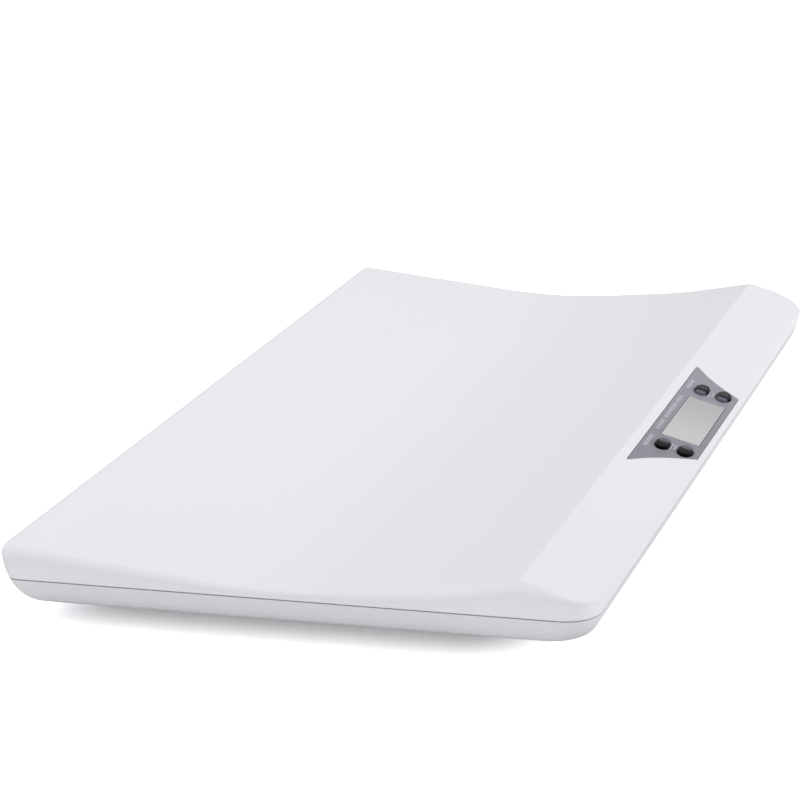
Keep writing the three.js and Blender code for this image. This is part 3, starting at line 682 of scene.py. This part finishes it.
def round_edges(
    mesh: bmesh.types.BMesh,
    wanted: Callable[[bmesh.types.BMEdge], bool],
    width_mm: float,
    segments: int = 2,
    clamp: bool = True,
) -> None:
    """Bevels the edges that a test names.

    Args:
        mesh: The mesh to work on.
        wanted: Test of one edge.
        width_mm: Width of the bevel.
        segments: Steps across the bevel.
        clamp: Whether the bevel stops where two of them meet.
    """
    edges = [edge for edge in mesh.edges if edge.is_manifold and wanted(edge)]
    bmesh.ops.bevel(
        mesh,
        geom=edges,
        offset=width_mm * MM,
        offset_type="OFFSET",
        segments=segments,
        profile=0.5,
        affect="EDGES",
        clamp_overlap=clamp,
        material=-1,
    )


def sharper_than(degrees: float) -> Callable[[bmesh.types.BMEdge], bool]:
    """Makes a test for edges whose faces meet at more than an angle.

    Args:
        degrees: The angle.

    Returns:
        The test of one edge.
    """
    limit = math.radians(degrees)
    return lambda edge: edge.calc_face_angle(0.0) > limit


def make_piece(mesh: bmesh.types.BMesh, name: str, body: str) -> bpy.types.Object:
    """Turns a mesh in the row frame into a piece that rides on a body.

    Args:
        mesh: The finished mesh, which is freed.
        name: Name of the piece.
        body: Name of the body that it rides on.

    Returns:
        The new object, at the origin.
    """
    limit = math.radians(SMOOTH_ANGLE)
    for face in mesh.faces:
        face.smooth = True
    for edge in mesh.edges:
        edge.smooth = not edge.is_manifold or edge.calc_face_angle(0.0) < limit
    data = bpy.data.meshes.new(name)
    mesh.to_mesh(data)
    mesh.free()
    piece = add_object(name, data)
    weighted = piece.modifiers.new("flat_faces_first", "WEIGHTED_NORMAL")
    weighted.keep_sharp = True
    weighted.weight = FLAT_FACE_WEIGHT
    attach(piece, body)
    log.info("made %s on %s", name, body)
    return piece


@dataclass
class Strip:
    """The sloping strip, whose own millimetres run along it, up its slope and off it."""

    crest_y: float = -105.4
    crest_z: float = 40.4
    slope: float = 15.8

    def matrix(self) -> Matrix:
        """Works out the turn and shift from strip millimetres to the row frame in metres.

        Returns:
            The matrix.
        """
        turn = Matrix.Rotation(math.radians(self.slope), 4, "X")
        shift = Matrix.Translation((0, self.crest_y * MM, self.crest_z * MM))
        return shift @ turn @ Matrix.Scale(MM, 4)


STRIP = Strip()


@dataclass
class PanelCorners:
    """The corners of the panel and of its seat, which are rounded alike."""

    tip_cut: float = 2.8
    outer_cut: float = 1.3
    tip_x: float = 80.0
    inner_x: float = 50.0
    depth: float = 4.0
    least_turn: float = 45.0
    facet_turn: float = 8.0
    upright_share: float = 0.98
    tip_segments: int = 4
    outer_segments: int = 3

    def upright(self, edge: bmesh.types.BMEdge, least_x: float) -> bool:
        """Tells whether an edge runs into the strip, further out than a place along it.

        Args:
            edge: The edge.
            least_x: The place, in mm from the middle.

        Returns:
            Whether it does.
        """
        to_strip = STRIP.matrix().inverted()
        start, end = (to_strip @ vert.co for vert in edge.verts)
        run = end - start
        return (
            abs(run.z) > self.upright_share * run.length
            and min(abs(start.x), abs(end.x)) > least_x
            and max(abs(start.z), abs(end.z)) < self.depth
        )

    def is_tip(self, edge: bmesh.types.BMEdge) -> bool:
        """Tells whether an edge is a pointed corner beside the dish."""
        turn = math.degrees(edge.calc_face_angle(0.0))
        return turn > self.least_turn and self.upright(edge, self.tip_x)

    def is_outer(self, edge: bmesh.types.BMEdge) -> bool:
        """Tells whether an edge is one of the two blunt corners.

        Args:
            edge: The edge.

        Returns:
            Whether it is.
        """
        turn = math.degrees(edge.calc_face_angle(0.0))
        return (
            turn > self.least_turn
            and self.upright(edge, self.inner_x)
            and not self.upright(edge, self.tip_x)
        )

    def is_facet(self, edge: bmesh.types.BMEdge) -> bool:
        """Tells whether an edge is a small facet line next to a pointed corner."""
        turn = math.degrees(edge.calc_face_angle(0.0))
        return turn < self.facet_turn and self.upright(edge, self.tip_x)

    def soften(self, mesh: bmesh.types.BMesh) -> None:
        """Rounds the panel's corners in a mesh.

        Args:
            mesh: The panel, or the tray with the panel's seat.
        """
        facets = [edge for edge in mesh.edges if edge.is_manifold and self.is_facet(edge)]
        bmesh.ops.dissolve_edges(mesh, edges=facets, use_verts=True)
        round_edges(mesh, self.is_tip, self.tip_cut, self.tip_segments, clamp=False)
        round_edges(mesh, self.is_outer, self.outer_cut, self.outer_segments, clamp=False)


PANEL_CORNERS = PanelCorners()


@dataclass
class Shells:
    """The white platform and the base under it, with worked edges."""

    crest_round: float = 0.5
    crest_segments: int = 3
    crest_reach: float = 0.05
    crest_floor: float = 40.0
    tray_slot: str = "white_abs"
    base_slot: str = "base_abs"

    def build(self) -> None:
        """Builds both shells."""
        self.build_tray()
        self.build_base()

    def on_crest(self, edge: bmesh.types.BMEdge) -> bool:
        """Tells whether an edge is the crest between the dish and the strip.

        Args:
            edge: The edge.

        Returns:
            Whether it is.
        """
        return all(
            abs(vert.co.y - STRIP.crest_y * MM) < self.crest_reach * MM
            and vert.co.z > self.crest_floor * MM
            for vert in edge.verts
        )

    def build_tray(self) -> None:
        """Builds the platform from its node, with a softened crest."""
        mesh = merged_copy("tray_shell")
        round_edges(mesh, self.on_crest, self.crest_round, self.crest_segments)
        PANEL_CORNERS.soften(mesh)
        piece = make_piece(mesh, "tray_skin", Body.ROOT.value)
        PAINTS.dress(piece, WHITE_ABS)
        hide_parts("tray_shell")

    def build_base(self) -> None:
        """Builds the base from its node."""
        mesh = merged_copy("base_shell")
        piece = make_piece(mesh, "base_skin", Body.ROOT.value)
        PAINTS.dress(piece, BASE_ABS)
        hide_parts("base_shell")


@dataclass
class ControlPanel:
    """The grey panel on the strip, with its window, buttons and pale marks."""

    face_height: float = -0.1
    face_round: float = 0.15
    face_angle: float = 50.0
    ink_thickness: float = 0.06
    ink_lift: float = 0.01
    mark_offset: float = 8.4
    mark_height: float = 2.6
    low_mark_share: float = 0.7
    bar_width: float = 0.8
    bar_pitch: float = 2.0
    least_bars: int = 2
    mark_spans: Sequence[tuple[float, float]] = (
        (-59, -40),
        (-30, -13),
        (-10, 5.6),
        (5, 17),
        (19, 32),
        (47, 62),
    )
    key_mark_x: float = 48.5
    key_mark_offset: float = 21.3
    key_mark_length: float = 9.0
    key_mark_pitch: float = 2.0
    key_mark_shares: Sequence[float] = (1.0, 0.8)
    button_round: float = 0.3
    button_segments: int = 3
    cap_mark: tuple[float, float] = (1.5, 0.5)
    cap_mark_pitch: float = 1.4
    cap_mark_count: int = 3
    cap_mark_height: float = 0.3
    cap_mark_sink: float = 0.07
    places: Sequence[str] = ("upper_left", "lower_left", "upper_right", "lower_right")

    def build(self) -> None:
        """Builds the faceplate, the marks and the buttons, and dresses the rest."""
        self.build_faceplate()
        self.build_marks()
        for place in self.places:
            self.build_button(place)
        self.dress_inside()

    def build_faceplate(self) -> None:
        """Builds the faceplate from its node, with softened edges."""
        mesh = merged_copy("control_faceplate")
        PANEL_CORNERS.soften(mesh)
        round_edges(mesh, sharper_than(self.face_angle), self.face_round)
        piece = make_piece(mesh, "faceplate_skin", Body.ROOT.value)
        PAINTS.dress(piece, GREY_ABS)
        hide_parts("control_faceplate")

    def add_bar(
        self, mesh: bmesh.types.BMesh, x: float, y: float, size: tuple[float, float]
    ) -> None:
        """Adds one printed bar, centred at a place on the strip.

        Args:
            mesh: The mesh that holds the marks.
            x: Place along the strip, in mm.
            y: Place down the slope, in mm.
            size: Length and width of the bar, in mm.
        """
        height = self.face_height + self.ink_thickness / 2 + self.ink_lift
        place = Matrix.Translation((x, -y, height))
        shape = Matrix.Diagonal((size[0], size[1], self.ink_thickness, 1.0))
        bmesh.ops.create_cube(mesh, size=1.0, matrix=STRIP.matrix() @ place @ shape)

    def build_marks(self) -> None:
        """Prints rows of short bars where the panel carries its labels."""
        mesh = bmesh.new()
        for start, end in self.mark_spans:
            count = max(self.least_bars, round((end - start) / self.bar_pitch))
            step = (end - start) / count
            for order in range(count):
                tall = self.mark_height * (1.0 if order % 2 else self.low_mark_share)
                x = start + step * (order + 0.5)
                self.add_bar(mesh, x, self.mark_offset, (self.bar_width, tall))
        for side in (-1, 1):
            for order, share in enumerate(self.key_mark_shares):
                y = self.key_mark_offset + (order - 0.5) * self.key_mark_pitch
                size = (self.key_mark_length * share, self.bar_width)
                self.add_bar(mesh, side * self.key_mark_x, y, size)
        piece = make_piece(mesh, "panel_marks", Body.ROOT.value)
        PAINTS.dress(piece, PRINT_INK)

    def build_button(self, place: str) -> None:
        """Builds one button from its node, with its edges rounded and its crown marked.

        Args:
            place: Which button it is.
        """
        mesh = merged_copy(f"button_{place}")
        round_edges(mesh, sharper_than(SHARP_ANGLE), self.button_round, self.button_segments)
        self.mark_cap(mesh)
        body = Body.key(place)
        piece = make_piece(mesh, f"button_cap_{place}", body)
        finish = KEY_LEFT if "left" in place else KEY_RIGHT
        PAINTS.dress(piece, finish, KEY_INK)
        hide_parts(f"button_{place}")

    def mark_cap(self, mesh: bmesh.types.BMesh) -> None:
        """Prints a short row of small bars over the crown of a button.

        Args:
            mesh: The button's mesh, which gets the bars.
        """
        to_strip = STRIP.matrix().inverted()
        crown = [to_strip @ vert.co for vert in mesh.verts]
        middle_x = (min(p.x for p in crown) + max(p.x for p in crown)) / 2
        middle_y = (min(p.y for p in crown) + max(p.y for p in crown)) / 2
        top = max(p.z for p in crown)
        faces = set(mesh.faces)
        for order in range(self.cap_mark_count):
            y = middle_y + (order - (self.cap_mark_count - 1) / 2) * self.cap_mark_pitch
            place = Matrix.Translation((middle_x, y, top - self.cap_mark_sink))
            shape = Matrix.Diagonal((*self.cap_mark, self.cap_mark_height, 1.0))
            bmesh.ops.create_cube(mesh, size=1.0, matrix=STRIP.matrix() @ place @ shape)
        for face in set(mesh.faces) - faces:
            face.material_index = 1

    def dress_inside(self) -> None:
        """Dresses the window and the pieces under the panel."""
        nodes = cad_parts
        PAINTS.dress(nodes["display_window"], WINDOW_ACRYLIC)
        PAINTS.dress(nodes["lcd_panel"], LIQUID_CRYSTAL)
        PAINTS.dress(nodes["lcd_frame"], BLACK_NYLON)
        PAINTS.dress(nodes["lcd_connector"], SILICONE)
        PAINTS.dress(nodes["control_board"], BOARD)
        PAINTS.dress(nodes["controller_chip"], CHIP_EPOXY)
        PAINTS.dress(nodes["cable_socket"], WHITE_NYLON)
        for place in self.places:
            PAINTS.dress(nodes[f"switch_plunger_{place}"], BLACK_NYLON)
            PAINTS.dress(nodes[f"switch_body_{place}"], ZINC)


@dataclass
class WeighingFeet:
    """Four feet, each a rubber pad in a nylon cup under a load cell."""

    corners: Sequence[str] = ("rear_left", "rear_right", "front_left", "front_right")
    edge_round: float = 0.2
    groove_inset: float = 2.6
    groove_width: float = 1.2
    groove_wall: float = 0.25
    groove_depth: float = 0.5
    groove_count: int = 2

    def build(self) -> None:
        """Builds the four feet."""
        for corner in self.corners:
            self.build_foot(corner)

    def build_foot(self, corner: str) -> None:
        """Builds one foot's pad and cup and dresses its cell and bracket.

        Args:
            corner: Which foot it is.
        """
        for part, slot, finish in (
            ("foot_pad", "foot_rubber", FOOT_RUBBER),
            ("foot_cup", "black_nylon", BLACK_NYLON),
        ):
            mesh = merged_copy(f"{part}_{corner}")
            if part == "foot_pad":
                self.cut_grooves(mesh)
            round_edges(mesh, sharper_than(SHARP_ANGLE), self.edge_round)
            piece = make_piece(mesh, f"{part}_skin_{corner}", Body.ROOT.value)
            PAINTS.dress(piece, finish)
            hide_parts(f"{part}_{corner}")
        PAINTS.dress(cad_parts[f"load_cell_{corner}"], ZINC)
        PAINTS.dress(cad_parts[f"cell_bracket_{corner}"], WHITE_NYLON)

    def cut_grooves(self, mesh: bmesh.types.BMesh) -> None:
        """Sinks ring grooves into the face that a pad stands on.

        Args:
            mesh: The pad's mesh.
        """
        sole = min(mesh.faces, key=lambda face: (face.normal.z, -face.calc_area()))
        steps = (
            (self.groove_inset, 0.0),
            (self.groove_wall, -self.groove_depth),
            (self.groove_width, 0.0),
            (self.groove_wall, self.groove_depth),
        )
        for thickness, depth in steps * self.groove_count:
            bmesh.ops.inset_region(mesh, faces=[sole], thickness=thickness * MM, depth=depth * MM)


@dataclass
class BatteryBay:
    """The door under the base, and the batteries and contacts behind it."""

    count: int = 4
    grip_bars: int = 5
    grip_bar: tuple[float, float, float] = (20.0, 1.0, 0.8)
    grip_proud: float = 0.4
    grip_pitch: float = 2.2
    grip_inset: float = 5.0
    grip_round: float = 0.22

    def build(self) -> None:
        """Builds the door's grip and dresses the door and what lies behind it."""
        self.build_grip()
        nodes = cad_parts
        PAINTS.dress(nodes["battery_door"], BASE_ABS)
        for number in range(1, self.count + 1):
            PAINTS.dress(nodes[f"battery_{number}"], SLEEVE)
            PAINTS.dress(nodes[f"battery_contact_{number}"], SPRING)

    def build_grip(self) -> None:
        """Builds the thumb ridges beside the edge of the door that opens."""
        low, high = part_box("battery_door")
        centre_x = (low[0] + high[0]) / 2
        length, width, height = (side * MM for side in self.grip_bar)
        mesh = bmesh.new()
        for order in range(self.grip_bars):
            y = low[1] + (self.grip_inset + order * self.grip_pitch) * MM
            z = low[2] - self.grip_proud * MM + height / 2
            shape = Matrix.Diagonal((length, width, height, 1.0))
            bmesh.ops.create_cube(
                mesh, size=1.0, matrix=Matrix.Translation((centre_x, y, z)) @ shape
            )
        round_edges(mesh, sharper_than(SHARP_ANGLE), self.grip_round)
        piece = make_piece(mesh, "battery_door_grip", Body.DOOR.value)
        PAINTS.dress(piece, BASE_ABS)


@dataclass
class WiringAndScrews:
    """The cables inside the shells and the screws that hold them together."""

    screw_prefixes: Sequence[str] = ("shell_screw_", "board_screw_")

    def build(self) -> None:
        """Dresses the cables and screws."""
        for name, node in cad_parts.items():
            if name.startswith("sensor_cable_"):
                PAINTS.dress(node, CABLE_PVC)
            if name.startswith(tuple(self.screw_prefixes)):
                PAINTS.dress(node, ZINC)
        PAINTS.dress(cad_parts["battery_lead"], LEAD_PVC)


@dataclass(frozen=True)
class Lamp:
    """A square soft lamp on a sphere round the object, facing its middle."""

    name: str
    azimuth: float
    elevation: float
    side: float
    power: float
    distance: float = 2.2

    def hang(self) -> None:
        """Hangs the lamp."""
        turn = math.radians(self.azimuth)
        rise = math.radians(self.elevation)
        reach = math.cos(rise)
        away = Vector((math.cos(turn) * reach, math.sin(turn) * reach, math.sin(rise)))
        data = bpy.data.lights.new(self.name, "AREA")
        data.shape = "SQUARE"
        data.size = self.side
        data.energy = self.power
        lamp = add_object(self.name, data)
        lamp.location = away * self.distance
        lamp.rotation_mode = "QUATERNION"
        lamp.rotation_quaternion = away.to_track_quat("Z", "Y")


@dataclass
class Studio:
    """A pale floor, soft light and the camera."""

    floor_side: float = 12.0
    floor_bounce: float = 0.85
    floor_seen: float = 3.0
    world_strength: float = 0.35
    focal_px: float = 2961.29
    yaw: float = 17.47
    pitch: float = 16.06
    roll: float = -1.74
    distance: float = 1.70005
    target: tuple[float, float, float] = (0.12074, 0.06967, 0.0)
    nearest: float = 0.05
    furthest: float = 100.0
    lamps: Sequence[Lamp] = (
        Lamp("rear_overhead_softbox", azimuth=90.0, elevation=70.0, side=0.9, power=24.6),
        Lamp("low_front_softbox", azimuth=-75.0, elevation=14.0, side=0.5, power=20.4),
        Lamp("low_camera_softbox", azimuth=180.0, elevation=8.0, side=0.8, power=11.2),
    )

    def build(self) -> None:
        """Builds the floor, the world, the lamps and the camera."""
        self.build_floor()
        self.build_world()
        self.build_lamps()
        self.build_camera()

    def build_floor(self) -> None:
        """Builds a floor that shows white and keeps a soft shadow."""
        mesh = bmesh.new()
        bmesh.ops.create_grid(mesh, x_segments=1, y_segments=1, size=self.floor_side / 2)
        data = bpy.data.meshes.new("studio_floor")
        mesh.to_mesh(data)
        mesh.free()
        floor = add_object("studio_floor", data)
        material = bpy.data.materials.new("studio_paper")
        tree = new_tree(material)
        path = add_node(tree, "ShaderNodeLightPath")
        shade = add_node(
            tree,
            "ShaderNodeMapRange",
            values={"To Min": self.floor_bounce, "To Max": self.floor_seen},
            links={"Value": path.outputs["Is Camera Ray"]},
        )
        paper = add_node(tree, "ShaderNodeBsdfDiffuse", links={"Color": shade.outputs["Result"]})
        add_node(tree, "ShaderNodeOutputMaterial", links={"Surface": paper.outputs["BSDF"]})
        data.materials.append(material)

    def seen_directly(self, tree: bpy.types.NodeTree) -> bpy.types.NodeSocket:
        """Finds the rays that the camera, gloss or glass sends.

        Args:
            tree: The node tree that the nodes go into.

        Returns:
            A socket that is 1 for such a ray.
        """
        path = add_node(tree, "ShaderNodeLightPath")
        seen = path.outputs["Is Camera Ray"]
        for kind in ("Is Glossy Ray", "Is Transmission Ray"):
            either = add_node(
                tree,
                "ShaderNodeMath",
                {"operation": "MAXIMUM"},
                links={0: seen, 1: path.outputs[kind]},
            )
            seen = either.outputs["Value"]
        return seen

    def build_world(self) -> None:
        """Builds a pale world that is white where it is seen."""
        world = bpy.data.worlds.new("studio_world")
        bpy.context.scene.world = world
        world.use_nodes = True
        tree = world.node_tree
        tree.nodes.clear()
        seen = self.seen_directly(tree)
        strength = add_node(
            tree,
            "ShaderNodeMapRange",
            values={"To Min": self.world_strength, "To Max": 1.0},
            links={"Value": seen},
        )
        light = add_node(
            tree,
            "ShaderNodeBackground",
            values={"Color": linear("#ffffff")},
            links={"Strength": strength.outputs["Result"]},
        )
        add_node(tree, "ShaderNodeOutputWorld", links={"Surface": light.outputs["Background"]})

    def build_lamps(self) -> None:
        """Hangs the lamps."""
        for lamp in self.lamps:
            lamp.hang()

    def build_camera(self) -> None:
        """Places the camera where the photograph was taken from."""
        yaw, pitch, roll = map(math.radians, (self.yaw, self.pitch, self.roll))
        forward = Vector(
            (math.cos(yaw) * math.cos(pitch), math.sin(yaw) * math.cos(pitch), -math.sin(pitch))
        )
        level = Vector((math.sin(yaw), -math.cos(yaw), 0.0))
        upright = level.cross(forward)
        right = level * math.cos(roll) + upright * math.sin(roll)
        up = upright * math.cos(roll) - level * math.sin(roll)
        data = bpy.data.cameras.new("photo_camera")
        data.sensor_width = SENSOR_WIDTH
        data.lens = self.focal_px / PHOTO_SIDE * SENSOR_WIDTH
        data.clip_start = self.nearest
        data.clip_end = self.furthest
        camera = add_object("photo_camera", data)
        turn = Matrix((right, up, -forward)).transposed().to_4x4()
        place = Vector(self.target) - forward * self.distance
        camera.matrix_world = Matrix.Translation(place) @ turn
        bpy.context.scene.camera = camera


def main() -> None:
    """Builds every group of pieces in order."""
    bpy.context.scene.view_settings.view_transform = "Standard"
    for group in (
        Shells(),
        ControlPanel(),
        WeighingFeet(),
        BatteryBay(),
        WiringAndScrews(),
        Studio(),
    ):
        log.info("building %s", type(group).__name__)
        group.build()


if __name__ == "__main__":
    main()
